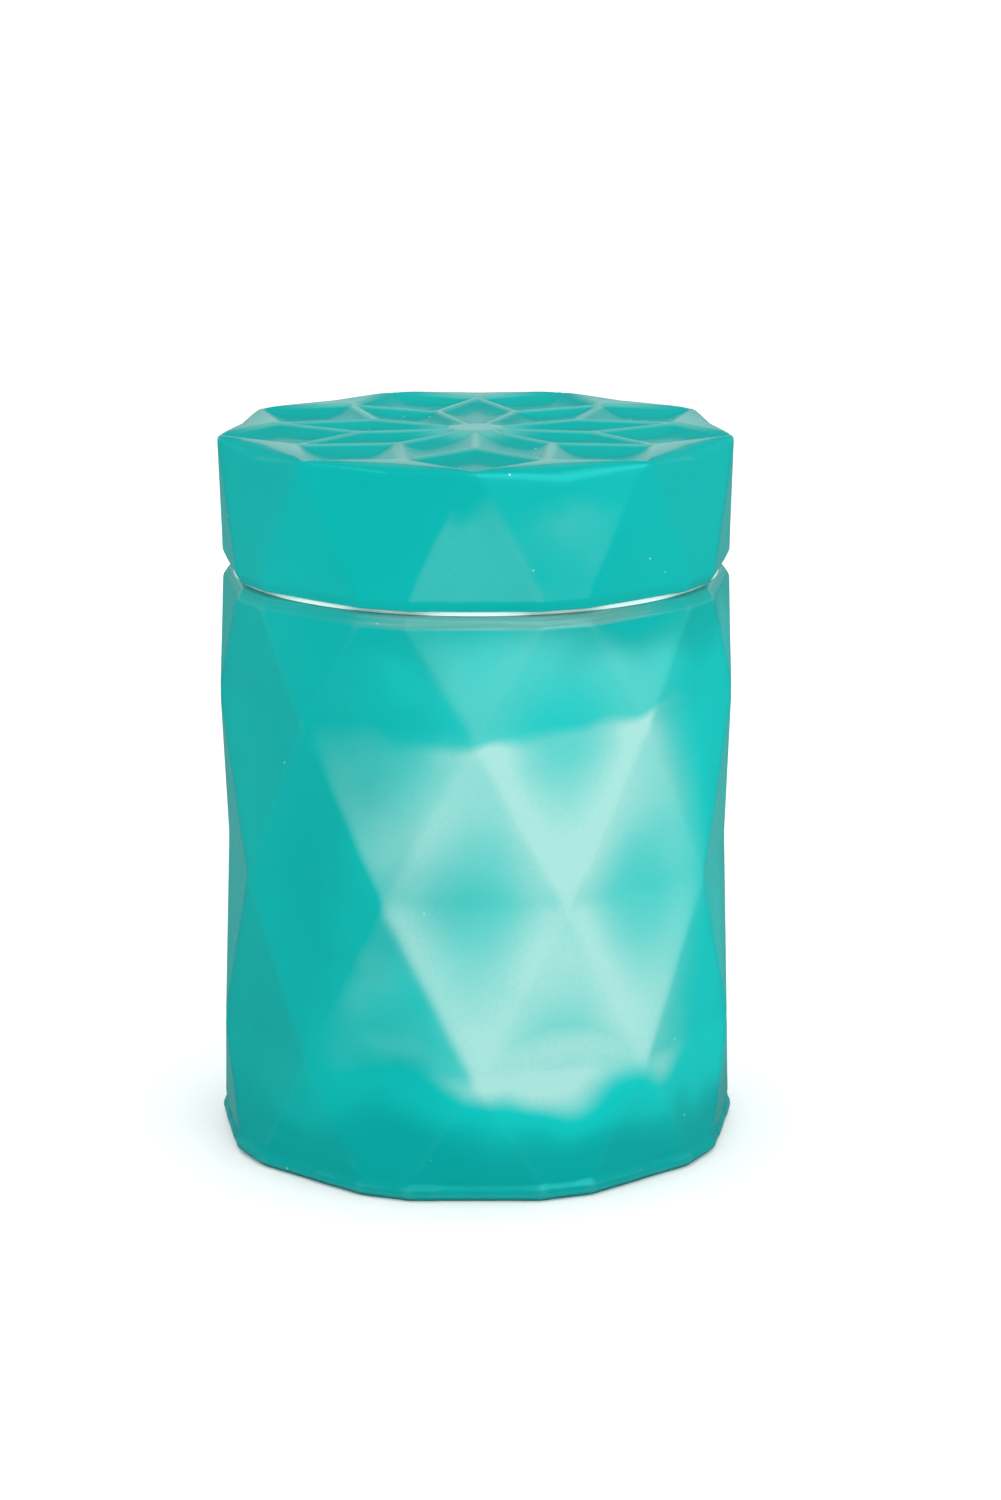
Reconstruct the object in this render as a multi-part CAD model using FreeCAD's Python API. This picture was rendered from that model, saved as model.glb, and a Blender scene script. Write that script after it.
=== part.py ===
import FreeCAD, Part
import math
import os

# Lidded jar lantern of pressed glass with nine diamond-folded sides, poured wax and three wicks.
# Frame: +Z up, origin at the centre of the base, front corner of the lid towards -Y. Millimetres.

# ---- driving dimensions ------------------------------------------------------------------
sides = 9                       # corners round the jar and the lid
side_angle = 360.0 / sides
corner_radius = 50.8            # axis to the corners where the folds of the jar meet
jar_height = 113.5              # table to the top of the jar's rim
overall_height = 141.2          # table to the top of the lid
lowest_row_z = 24.1             # lowest row of fold corners
row_pitch = 33.35               # height from one row of corners to the next
row_count = 3
ring_half_angle = 14.3          # half the wide edges of the eighteen-sided rings
bore_radius = 43.0
floor_thickness = 16.0
wax_top_z = 88.0
glass_gap = 0.15                # air between the wax and the glass

# jar details
rim_ring_radius = 50.1          # corners of the ring below the rim's bevel
rim_bevel_height = 2.2
rim_bevel_depth = 1.5
heel_wall_radius = 51.3         # corners of the wall where it meets the heel
heel_lip_radius = 52.0          # corners of the small lip round the heel
heel_lip_bottom_z = 1.0
heel_lip_top_z = 2.6
heel_wall_z = 3.4
heel_chamfer = 1.4
bore_floor_fillet = 8.0
bore_mouth_round = 1.0
base_recess_radius = 33.0
base_recess_depth = 1.0

# lid details
seal_flange_thickness = 0.8
seal_gap = 0.05                 # running clearance between the seal and the lid
lid_corner_radius = 50.6
lid_ring_radius = 50.1
lid_bevel_height = 2.0
lid_bevel_depth = 1.0
lid_bottom_z = jar_height + seal_flange_thickness + seal_gap
star_inner_radius = 0.45 * corner_radius    # inner ring of star ridge corners
star_outer_radius = 0.775 * corner_radius   # outer ring of star ridge corners
petal_depth = 1.6                           # hollow of the nine petals round the centre
diamond_depth = 1.8                         # hollow of the nine diamonds outside them
scoop_drop = 1.1                            # drop of the rim between two lid corners
lid_ceiling_thickness = 8.5
lid_hollow_mouth_radius = 37.0
lid_hollow_draft = 1.5                      # how much narrower the hollow is at its ceiling
plug_radius = 41.6
plug_depth = 11.0
plug_bottom_round = 0.8
groove_radius = 40.7
groove_height = 8.5
groove_top_z = jar_height - 0.6

# seal details
seal_flange_radius = 47.5
seal_sleeve_thickness = 1.2
seal_fin_radius = bore_radius - 0.3
seal_fin_height = 1.0
seal_fin_count = 4

# wicks and what holds them
wick_count = 3
wick_circle_radius = 20.0
wick_radius = 1.3
wick_above_wax = 6.5
tab_radius = 10.0
tab_thickness = 0.4
tab_neck_radius = 2.1
tab_neck_height = 5.0
sticker_radius = 9.0
sticker_thickness = 0.8

# label
label_radius = 28.0
label_thickness = 0.3

# how far a cutting or joining shape runs on past the face it meets
run_on = 1.0


# ---- helpers -----------------------------------------------------------------------------
def point(radius, azimuth, z):
    """Point at an azimuth counted from the front (-Y) towards +X."""
    angle = math.radians(azimuth)
    return FreeCAD.Vector(radius * math.sin(angle), -radius * math.cos(angle), z)


def corner_row(radius, z, turned):
    """Nine corners; a turned row sits half a side further round."""
    shift = side_angle / 2 if turned else 0.0
    return [point(radius, k * side_angle + shift, z) for k in range(sides)]


def wide_narrow_ring(radius, z, half_angle=ring_half_angle):
    """Eighteen corners, in pairs astride the azimuths of an unturned row."""
    ring = []
    for k in range(sides):
        ring.append(point(radius, k * side_angle - half_angle, z))
        ring.append(point(radius, k * side_angle + half_angle, z))
    return ring


def flat_face(corners):
    return Part.Face(Part.makePolygon(list(corners) + [corners[0]]))


def fold_band(row, other, row_is_turned):
    """Eighteen triangles between an unturned and a turned row of nine corners."""
    faces = []
    for k in range(sides):
        after = (k + 1) % sides
        if row_is_turned:
            faces.append(flat_face([row[k], row[after], other[after]]))
            faces.append(flat_face([other[k], other[after], row[k]]))
        else:
            faces.append(flat_face([row[k], row[after], other[k]]))
            faces.append(flat_face([other[k], other[after], row[after]]))
    return faces


def row_to_ring(row, ring):
    """Triangles under each corner of a row, and trapezoids between them, down or up to a ring."""
    faces = []
    for k in range(sides):
        after = (k + 1) % sides
        left, right = ring[2 * k], ring[2 * k + 1]
        next_left = ring[2 * after]
        faces.append(flat_face([row[k], left, right]))
        faces.append(flat_face([row[k], row[after], next_left, right]))
    return faces


def ring_to_ring(lower, upper):
    faces = []
    for k in range(len(lower)):
        after = (k + 1) % len(lower)
        faces.append(flat_face([lower[k], lower[after], upper[after], upper[k]]))
    return faces


def closed_solid(faces):
    shell = Part.Shell(faces)
    shell.sewShape()
    solid = Part.Solid(shell)
    if solid.Volume < 0:
        solid.reverse()
    return solid


def turned_solid(profile_edges):
    """Solid of revolution about Z of a closed profile in the XZ plane."""
    face = Part.Face(Part.Wire(profile_edges))
    return face.revolve(FreeCAD.Vector(0, 0, 0), FreeCAD.Vector(0, 0, 1), 360)


def polyline(points):
    """Straight edges through (radius, z) points in the XZ plane."""
    corners = [FreeCAD.Vector(r, 0, z) for r, z in points]
    return [Part.LineSegment(a, b).toShape() for a, b in zip(corners, corners[1:])]


def quarter_arc(centre, radius, start_angle, end_angle):
    """Arc in the XZ plane about a (radius, z) centre; angles from +X towards +Z, in degrees."""
    def on_arc(angle):
        a = math.radians(angle)
        return FreeCAD.Vector(centre[0] + radius * math.cos(a), 0, centre[1] + radius * math.sin(a))
    middle = (start_angle + end_angle) / 2
    return Part.Arc(on_arc(start_angle), on_arc(middle), on_arc(end_angle)).toShape()


def cylinder(radius, bottom_z, top_z, centre=(0.0, 0.0)):
    base = FreeCAD.Vector(centre[0], centre[1], bottom_z)
    return Part.makeCylinder(radius, top_z - bottom_z, base)


def bore_profile(radius, floor_z, fillet, top_z):
    """Closed half profile of a round cavity with a filleted floor."""
    edges = polyline([(0, top_z), (0, floor_z), (radius - fillet, floor_z)])
    edges.append(quarter_arc((radius - fillet, floor_z + fillet), fillet, -90, 0))
    edges += polyline([(radius, floor_z + fillet), (radius, top_z), (0, top_z)])
    return edges


# ---- jar ---------------------------------------------------------------------------------
def make_jar():
    rows = []
    for index in range(row_count):
        rows.append(corner_row(corner_radius, lowest_row_z + index * row_pitch, index % 2 == 1))
    rim_wall_z = jar_height - rim_bevel_height
    rings = [
        wide_narrow_ring(heel_lip_radius - heel_chamfer, 0.0),
        wide_narrow_ring(heel_lip_radius, heel_lip_bottom_z),
        wide_narrow_ring(heel_lip_radius, heel_lip_top_z),
        wide_narrow_ring(heel_wall_radius, heel_wall_z),
    ]
    rim_wall = wide_narrow_ring(rim_ring_radius, rim_wall_z)
    rim_top = wide_narrow_ring(rim_ring_radius - rim_bevel_depth, jar_height)

    faces = [flat_face(rings[0]), flat_face(rim_top)]
    for lower, upper in zip(rings, rings[1:]):
        faces += ring_to_ring(lower, upper)
    faces += row_to_ring(rows[0], rings[-1])
    for index, (lower, upper) in enumerate(zip(rows, rows[1:])):
        faces += fold_band(lower, upper, index % 2 == 1)
    faces += row_to_ring(rows[-1], rim_wall)
    faces += ring_to_ring(rim_wall, rim_top)
    outside = closed_solid(faces)

    above = jar_height + run_on
    cavity = turned_solid(bore_profile(bore_radius, floor_thickness, bore_floor_fillet, above))
    mouth = turned_solid(
        polyline([(0, above), (0, jar_height - bore_mouth_round),
                  (bore_radius, jar_height - bore_mouth_round),
                  (bore_radius + bore_mouth_round, jar_height),
                  (bore_radius + bore_mouth_round, above), (0, above)]))
    recess = cylinder(base_recess_radius, -run_on, base_recess_depth)
    return outside.cut(cavity).cut(mouth).cut(recess)


# ---- lid ---------------------------------------------------------------------------------
def dished_cell(corners, depth):
    """A four-cornered cell hollowed to a point below its middle."""
    middle = FreeCAD.Vector(0, 0, 0)
    for corner in corners:
        middle = middle + corner
    middle = middle * (1.0 / len(corners))
    middle.z -= depth
    faces = []
    for k in range(len(corners)):
        faces.append(flat_face([corners[k], corners[(k + 1) % len(corners)], middle]))
    return faces


def make_lid():
    top_z = overall_height
    corners = corner_row(lid_corner_radius, top_z, False)
    outer = corner_row(star_outer_radius, top_z, True)
    inner = corner_row(star_inner_radius, top_z, False)
    centre = FreeCAD.Vector(0, 0, top_z)
    edge_middle_radius = lid_corner_radius * math.cos(math.radians(side_angle / 2))
    wall_ring = wide_narrow_ring(lid_ring_radius, lid_bottom_z + lid_bevel_height)
    bottom_ring = wide_narrow_ring(lid_ring_radius - lid_bevel_depth, lid_bottom_z)

    # The scooped edge lies in the wall's own leaning plane between two corners.
    ring_edge_radius = lid_ring_radius * math.cos(math.radians(side_angle / 2 - ring_half_angle))
    wall_lean = (ring_edge_radius - edge_middle_radius) / (top_z - lid_bottom_z - lid_bevel_height)
    scoop_radius = edge_middle_radius + wall_lean * scoop_drop
    scoops = corner_row(scoop_radius, top_z - scoop_drop, True)

    faces = [flat_face(bottom_ring)]
    faces += ring_to_ring(bottom_ring, wall_ring)
    for k in range(sides):
        after = (k + 1) % sides
        before = (k - 1) % sides
        left, right = wall_ring[2 * k], wall_ring[2 * k + 1]
        next_left = wall_ring[2 * after]
        faces.append(flat_face([corners[k], left, right]))
        faces.append(flat_face([corners[k], scoops[k], corners[after], next_left, right]))
        faces.append(flat_face([corners[k], outer[k], scoops[k]]))
        faces.append(flat_face([scoops[k], outer[k], corners[after]]))
        faces += dished_cell([inner[k], outer[before], corners[k], outer[k]], diamond_depth)
        faces += dished_cell([centre, inner[k], outer[k], inner[after]], petal_depth)
    body = closed_solid(faces)

    plug_top_z = lid_bottom_z + run_on
    plug_bottom_z = jar_height - plug_depth
    plug = turned_solid(
        polyline([(0, plug_top_z), (0, plug_bottom_z), (plug_radius - plug_bottom_round, plug_bottom_z),
                  (plug_radius, plug_bottom_z + plug_bottom_round),
                  (plug_radius, groove_top_z - groove_height), (groove_radius, groove_top_z - groove_height),
                  (groove_radius, plug_top_z), (0, plug_top_z)]))
    hollow_top_z = overall_height - lid_ceiling_thickness
    hollow = Part.makeCone(lid_hollow_mouth_radius, lid_hollow_mouth_radius - lid_hollow_draft,
                           hollow_top_z - plug_bottom_z, FreeCAD.Vector(0, 0, plug_bottom_z))
    return body.fuse(plug).removeSplitter().cut(hollow)


# ---- seal between them -------------------------------------------------------------------
def make_seal():
    inner = groove_radius + seal_gap
    sleeve = inner + seal_sleeve_thickness
    bottom_z = groove_top_z - groove_height + seal_gap
    flange_top_z = jar_height + seal_flange_thickness
    outline = [(inner, flange_top_z), (inner, bottom_z), (sleeve, bottom_z)]
    # Half a pitch stays plain under the flange.
    fin_pitch = (jar_height - bottom_z) / (seal_fin_count + 0.5)
    for index in range(seal_fin_count):
        fin_z = bottom_z + (index + 0.5) * fin_pitch
        outline += [(sleeve, fin_z - seal_fin_height / 2), (seal_fin_radius, fin_z),
                    (sleeve, fin_z + seal_fin_height / 2)]
    outline += [(sleeve, jar_height), (seal_flange_radius, jar_height),
                (seal_flange_radius, flange_top_z), (inner, flange_top_z)]
    return turned_solid(polyline(outline))


# ---- wax, wicks and their tabs -----------------------------------------------------------
def wick_centre(index):
    place = point(wick_circle_radius, index * 360.0 / wick_count, 0)
    return (place.x, place.y)


def make_wick_tab(index):
    centre = wick_centre(index)
    bottom_z = floor_thickness + sticker_thickness
    disc = cylinder(tab_radius, bottom_z, bottom_z + tab_thickness, centre)
    neck = cylinder(tab_neck_radius, bottom_z, bottom_z + tab_neck_height, centre)
    hole = cylinder(wick_radius, bottom_z - run_on, bottom_z + tab_neck_height + run_on, centre)
    return disc.fuse(neck).removeSplitter().cut(hole)


def make_sticker(index):
    return cylinder(sticker_radius, floor_thickness, floor_thickness + sticker_thickness, wick_centre(index))


def make_wick(index):
    return cylinder(wick_radius, floor_thickness + sticker_thickness, wax_top_z + wick_above_wax,
                    wick_centre(index))


def make_wax():
    """Poured round the wicks, so the shapes of wick, tab and sticker are left out of it."""
    wax = turned_solid(bore_profile(bore_radius - glass_gap, floor_thickness, bore_floor_fillet, wax_top_z))
    tab_bottom_z = floor_thickness + sticker_thickness
    for index in range(wick_count):
        centre = wick_centre(index)
        wax = wax.cut(cylinder(sticker_radius, floor_thickness - run_on, tab_bottom_z, centre))
        wax = wax.cut(cylinder(tab_radius, tab_bottom_z, tab_bottom_z + tab_thickness, centre))
        wax = wax.cut(cylinder(tab_neck_radius, tab_bottom_z, tab_bottom_z + tab_neck_height, centre))
        wax = wax.cut(cylinder(wick_radius, tab_bottom_z, wax_top_z + run_on, centre))
    return wax


def make_label():
    return cylinder(label_radius, base_recess_depth - label_thickness, base_recess_depth)


# ---- write one file per piece ------------------------------------------------------------
pieces = {
    "jar": make_jar(),
    "lid": make_lid(),
    "lid_seal": make_seal(),
    "wax_fill": make_wax(),
    "base_label": make_label(),
}
for number in range(wick_count):
    pieces["wick_%d" % (number + 1)] = make_wick(number)
    pieces["wick_tab_%d" % (number + 1)] = make_wick_tab(number)
    pieces["tab_sticker_%d" % (number + 1)] = make_sticker(number)

os.makedirs("parts", exist_ok=True)
for node, shape in pieces.items():
    shape.exportStep("parts/%s.step" % node)
    print("%-14s valid %s, %.1f mm3" % (node, shape.isValid(), shape.Volume))
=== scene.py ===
"""Looks of the lidded jar lantern: diamond-folded teal glass round a poured candle with three wicks.

Shapes are worked out in millimetres and turned into metres when a mesh is made. Azimuths are
counted from the front (-Y) towards +X, as in the part itself.
"""

import math

import bpy
import numpy as np
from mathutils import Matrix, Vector


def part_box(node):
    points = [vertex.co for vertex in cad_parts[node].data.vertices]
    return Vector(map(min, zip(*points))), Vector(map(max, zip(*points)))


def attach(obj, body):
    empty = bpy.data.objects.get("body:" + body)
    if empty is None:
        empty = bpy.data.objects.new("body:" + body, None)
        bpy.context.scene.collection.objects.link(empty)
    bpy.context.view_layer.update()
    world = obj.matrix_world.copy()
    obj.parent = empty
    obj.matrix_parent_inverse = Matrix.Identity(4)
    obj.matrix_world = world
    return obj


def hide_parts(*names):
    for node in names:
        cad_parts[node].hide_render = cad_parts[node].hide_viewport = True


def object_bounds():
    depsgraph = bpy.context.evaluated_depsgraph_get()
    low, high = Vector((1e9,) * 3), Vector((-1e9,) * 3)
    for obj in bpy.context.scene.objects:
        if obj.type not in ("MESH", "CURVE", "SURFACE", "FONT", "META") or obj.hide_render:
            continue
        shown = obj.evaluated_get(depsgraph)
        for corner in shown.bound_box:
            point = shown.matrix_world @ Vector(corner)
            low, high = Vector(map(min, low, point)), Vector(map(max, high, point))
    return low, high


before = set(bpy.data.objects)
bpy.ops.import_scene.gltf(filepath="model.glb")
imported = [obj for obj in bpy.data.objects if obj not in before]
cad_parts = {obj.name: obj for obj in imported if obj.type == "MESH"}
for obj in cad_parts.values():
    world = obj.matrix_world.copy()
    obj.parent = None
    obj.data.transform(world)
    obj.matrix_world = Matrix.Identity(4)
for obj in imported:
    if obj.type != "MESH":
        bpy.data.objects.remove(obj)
cad_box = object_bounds()

MM = 0.001


def levels(node):
    """Lowest and highest z of a CAD node, in millimetres."""
    low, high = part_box(node)
    return low.z / MM, high.z / MM


def axis_of(node):
    """(x, y) of the middle of a CAD node, in millimetres."""
    low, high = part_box(node)
    return ((low.x + high.x) / 2 / MM, (low.y + high.y) / 2 / MM)


# ---- driving dimensions, in millimetres --------------------------------------------------
SIDES = 9
HALF_SIDE = math.pi / SIDES                 # angle from a corner of a row to the next edge's middle
RING_HALF_ANGLE = math.radians(14.3)        # half the wide edges of the eighteen-sided rings
CORNER_RADIUS = 50.8
LOWEST_ROW_Z = 24.1
ROW_PITCH = 33.35

JAR_TOP_Z = levels("jar")[1]
RIM_RADIUS = 50.1
RIM_BEVEL_HEIGHT = 2.2
RIM_BEVEL_DEPTH = 1.5
RIM_EDGE_INSET = 0.35                       # rounding of the edge on top of the bevel
HEEL_WALL_RADIUS = 51.3
HEEL_WALL_Z = 3.4
HEEL_LIP_RADIUS = 52.0
HEEL_LIP_TOP_Z = 2.6
HEEL_LIP_BOTTOM_Z = 1.0
HEEL_CHAMFER = 1.4
LIP_WEAR = 0.4                              # most that the heel's ragged lip falls short
LIP_WAVES = ((7, 0.8), (16, 2.1), (29, 4.0))  # waves in a turn, and phase, of that raggedness
BORE_RADIUS = 43.0
BORE_FLOOR_Z = levels("wax_fill")[0]
BORE_FLOOR_FILLET = 8.0
BORE_MOUTH_ROUND = 1.0
RECESS_RADIUS = 33.0
RECESS_DEPTH = levels("base_label")[1]
RECESS_EDGE_ROUND = 0.4

LID_TOP_Z = levels("lid")[1]
PLUG_BOTTOM_Z = levels("lid")[0]
SEAL_BOTTOM_Z, SEAL_TOP_Z = levels("lid_seal")
SEAL_GAP = 0.05
LID_BOTTOM_Z = SEAL_TOP_Z + SEAL_GAP
LID_CORNER_RADIUS = 50.6
LID_RING_RADIUS = 50.1
LID_BEVEL_HEIGHT = 2.0
LID_BEVEL_DEPTH = 1.0
LID_EDGE_INSET = 0.25                       # rounding of the edge under the bevel
LID_CEILING_Z = LID_TOP_Z - 8.5
HOLLOW_MOUTH_RADIUS = 37.0
HOLLOW_DRAFT = 1.5
HOLLOW_ROUND = 3.0
HOLLOW_MOUTH_ROUND = 1.0
PLUG_RADIUS = 41.6
PLUG_ROUND = 0.8
GROOVE_RADIUS = 40.7
GROOVE_EDGE_ROUND = 0.3

STAR_INNER_RADIUS = 0.45 * CORNER_RADIUS
STAR_OUTER_RADIUS = 0.775 * CORNER_RADIUS
PETAL_DEPTH = 1.7
PETAL_RAMP = 6.0                            # distance over which a petal reaches its depth
DIAMOND_DEPTH = 2.0
DIAMOND_RAMP = 8.0
SUMMIT_RADIUS = 5.0                         # level middle of the star
EDGE_ROLL_AT_CORNER = 1.3                   # size of the lid's rolled edge at its corners
EDGE_ROLL_BETWEEN = 3.2                     # and half way between them
EDGE_ROLL_POWER = 1.2                       # how late it grows on the way there

WAX_BOTTOM_Z, WAX_TOP_Z = levels("wax_fill")
GLASS_GAP = 0.15
WICK_COUNT = 3
WICK_RADIUS = 1.3
WICK_STRANDS = 3
STRAND_RADIUS = 0.55 * WICK_RADIUS
WICK_TWIST_PITCH = 4.2
WICK_END_GAP = 0.2
WAX_EDGE_SINK = 1.0                         # set wax below the fill line, before it climbs the glass
WAX_CLIMB = (0.9, 1.2)                      # height of that climb, and distance over which it fades
WAX_MIDDLE_SINK = 0.35
WICK_COLLAR = (0.7, 2.2)                    # height and spread of the wax drawn up round a wick
WICK_CUP = (0.4, 7.0)                       # depth and spread of the dip round that
TAB_RADIUS = 10.0
TAB_SHEET = 0.4
TAB_RIB = (5.0, 5.6, 6.6, 7.2)              # foot, crest, crest and foot of the stiffening rib
TAB_RIB_HEIGHT = 0.25
TAB_NECK_RADIUS = 2.1
TAB_NECK_FILLET = 0.8
TAB_CRIMP = 0.35                            # how far the neck is crimped in on the wick
STICKER_RADIUS = 9.0
LABEL_RADIUS = 28.0

SEAL_FLANGE_RADIUS = 47.5
SEAL_EDGE_ROUND = 0.12
SEAL_SLEEVE = 1.2
SEAL_FIN_REACH = 0.75
SEAL_FIN_HALF_HEIGHT = 0.6
SEAL_FIN_COUNT = 4
SEAL_FOOT_CHAMFER = 0.2
SEAL_FLANGE_FILLET = 0.4
SEAL_EDGE_LEAN = 0.1                        # how much narrower the flange is on top

# ---- how finely and how softly the folds are drawn ---------------------------------------
FOLD_STEPS = 28                             # columns in half a side, and rows in a row pitch
COLUMNS = 2 * SIDES * FOLD_STEPS
WALL_STEP = ROW_PITCH / FOLD_STEPS
FINE_STEP = 0.3                             # row spacing on the heel's, rim's and bevel's small steps
STEP_MARGIN = 0.6                           # how far that spacing carries on beyond them
END_WALL_ROWS = 18                          # rows from there to the nearest row of corners
LID_WALL_ROWS = 24
EDGE_ROLL_ROWS = 9
STAR_ROWS = 72
WAX_SURFACE_ROWS = 60
FIN_ROWS = 9
WICK_ROWS = 200
STRAND_SIDES = 10
SMALL_COLUMNS = 180                         # columns of the seal, the wax and the label
TAB_COLUMNS = 96
STICKER_COLUMNS = 72
MIDDLE_RING = 4.0                           # innermost ring of a flat disc
BORE_FLOOR_RING = 28.0                      # outermost ring drawn on the bore's flat floor
FOLD_SOFTNESS = 0.75                        # rounding of the wall's folds
LIP_SOFTNESS = 0.35                         # rounding of the heel's and the rim's small steps
RIDGE_SOFTNESS = 0.5                        # rounding of the star's ridges
SOFT_OFFSETS = np.linspace(-2, 2, 9)        # where the rounding looks, in units of the softness
SOFT_WEIGHTS = np.exp(-SOFT_OFFSETS ** 2 / 2) / np.exp(-SOFT_OFFSETS ** 2 / 2).sum()


# ---- surfaces made of rings --------------------------------------------------------------
def azimuths(columns):
    return np.arange(columns) * 2 * math.pi / columns


def skin(name, rings, columns=COLUMNS, centre=(0.0, 0.0), closed_loop=False):
    """Mesh object through rings of (radius, z). A ring with radius 0 is one point."""
    turn = azimuths(columns)
    vertices = []
    starts = []
    for radius, z in rings:
        starts.append(len(vertices))
        if np.isscalar(radius) and radius == 0:
            vertices.append((centre[0], centre[1], float(z)))
            continue
        x = centre[0] + radius * np.sin(turn)
        y = centre[1] - radius * np.cos(turn)
        vertices += list(zip(x, y, np.broadcast_to(z, turn.shape)))
    starts.append(len(vertices))
    faces = []
    pairs = [(i, i + 1) for i in range(len(rings) - 1)]
    if closed_loop:
        pairs.append((len(rings) - 1, 0))
    for lower, upper in pairs:
        a, b = starts[lower], starts[upper]
        a_is_point = starts[lower + 1] - a == 1
        b_is_point = starts[upper + 1] - b == 1
        for j in range(columns):
            after = (j + 1) % columns
            if a_is_point:
                faces.append((a, b + after, b + j))
            elif b_is_point:
                faces.append((a + j, a + after, b))
            else:
                faces.append((a + j, a + after, b + after, b + j))
    return mesh_object(name, np.array(vertices), faces)


def mesh_object(name, vertices, faces):
    """Smooth-shaded object from vertices in millimetres."""
    mesh = bpy.data.meshes.new(name)
    mesh.from_pydata((np.asarray(vertices) * MM).tolist(), [], faces)
    mesh.shade_smooth()
    mesh.validate()
    piece = bpy.data.objects.new(name, mesh)
    bpy.context.scene.collection.objects.link(piece)
    return piece


def arc(centre, radius, start, end, steps=6):
    """Rings along an arc about (radius, z); angles in degrees from outward towards up."""
    angles = np.radians(np.linspace(start, end, steps + 1))
    return [(centre[0] + radius * math.cos(a), centre[1] + radius * math.sin(a)) for a in angles]


def straight(start, end, step):
    """Rings from start to just before end, about a step apart."""
    length = math.dist(start, end)
    count = max(1, round(length / step))
    shares = np.arange(count) / count
    return [(start[0] + (end[0] - start[0]) * s, start[1] + (end[1] - start[1]) * s) for s in shares]


# ---- the diamond-folded walls ------------------------------------------------------------
def folded(azimuth):
    """Angle to the nearest unturned corner: 0 at it, HALF_SIDE half way to the next."""
    return np.abs((azimuth + HALF_SIDE) % (2 * HALF_SIDE) - HALF_SIDE)


def ring_apothems(radius):
    """Distances to the wide and the narrow edges of an eighteen-sided ring."""
    return radius * math.cos(RING_HALF_ANGLE), radius * math.cos(HALF_SIDE - RING_HALF_ANGLE)


def row_apothems(radius, turned):
    """The same two distances at a row of nine corners: a corner one way, an edge the other."""
    edge = radius * math.cos(HALF_SIDE)
    return (edge, radius) if turned else (radius, edge)


# each level: its height, and the distances to the wide and the narrow faces there
JAR_LEVELS = [
    (0.0, ring_apothems(HEEL_LIP_RADIUS - HEEL_CHAMFER)),
    (HEEL_LIP_BOTTOM_Z, ring_apothems(HEEL_LIP_RADIUS)),
    (HEEL_LIP_TOP_Z, ring_apothems(HEEL_LIP_RADIUS)),
    (HEEL_WALL_Z, ring_apothems(HEEL_WALL_RADIUS)),
    (LOWEST_ROW_Z, row_apothems(CORNER_RADIUS, False)),
    (LOWEST_ROW_Z + ROW_PITCH, row_apothems(CORNER_RADIUS, True)),
    (LOWEST_ROW_Z + 2 * ROW_PITCH, row_apothems(CORNER_RADIUS, False)),
    (JAR_TOP_Z - RIM_BEVEL_HEIGHT, ring_apothems(RIM_RADIUS)),
    (JAR_TOP_Z, ring_apothems(RIM_RADIUS - RIM_BEVEL_DEPTH)),
]
LID_LEVELS = [
    (LID_BOTTOM_Z, ring_apothems(LID_RING_RADIUS - LID_BEVEL_DEPTH)),
    (LID_BOTTOM_Z + LID_BEVEL_HEIGHT, ring_apothems(LID_RING_RADIUS)),
    (LID_TOP_Z, row_apothems(LID_CORNER_RADIUS, False)),
]


def sharp_radius(wall, azimuth, z):
    """Radius of a folded wall with flat facets."""
    z_levels = [level for level, _ in wall]
    wide = np.interp(z, z_levels, [pair[0] for _, pair in wall])
    narrow = np.interp(z, z_levels, [pair[1] for _, pair in wall])
    angle = folded(azimuth)
    return np.minimum(wide / np.cos(angle), narrow / np.cos(HALF_SIDE - angle))


def soft_radius(wall, azimuth, z, softness):
    """Radius of the same wall with its folds rounded as fire-polished glass is."""
    total = 0.0
    for step_z, weight_z in zip(SOFT_OFFSETS, SOFT_WEIGHTS):
        for step_turn, weight_turn in zip(SOFT_OFFSETS, SOFT_WEIGHTS):
            turned = azimuth + step_turn * softness / CORNER_RADIUS
            total = total + weight_z * weight_turn * sharp_radius(wall, turned, z + step_z * softness)
    return total


# ---- jar ---------------------------------------------------------------------------------
def jar_wall_heights():
    """Row heights of the outer wall: close at the heel and rim, in step with the folds between."""
    heel = np.arange(0.0, HEEL_WALL_Z + STEP_MARGIN, FINE_STEP)
    lower = np.linspace(HEEL_WALL_Z + STEP_MARGIN, LOWEST_ROW_Z, END_WALL_ROWS)
    rows = LOWEST_ROW_Z + WALL_STEP * np.arange(1, 2 * FOLD_STEPS + 1)
    top = np.linspace(rows[-1], JAR_TOP_Z - RIM_BEVEL_HEIGHT - STEP_MARGIN, END_WALL_ROWS)[1:]
    rim = np.arange(top[-1] + FINE_STEP, JAR_TOP_Z - 0.2, FINE_STEP)
    return np.concatenate([heel, lower[1:], rows, top, rim])


def lip_wear(azimuth, z):
    """How far the heel's lip falls short of its full radius, unevenly round the jar."""
    waves = sum(np.sin(count * azimuth + phase) for count, phase in LIP_WAVES)
    on_lip = np.interp(z, [HEEL_LIP_BOTTOM_Z, HEEL_LIP_TOP_Z, HEEL_WALL_Z + 1.0], [0.3, 1.0, 0.0])
    return LIP_WEAR * on_lip * np.clip(0.5 + waves / 2, 0, 1)


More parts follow.
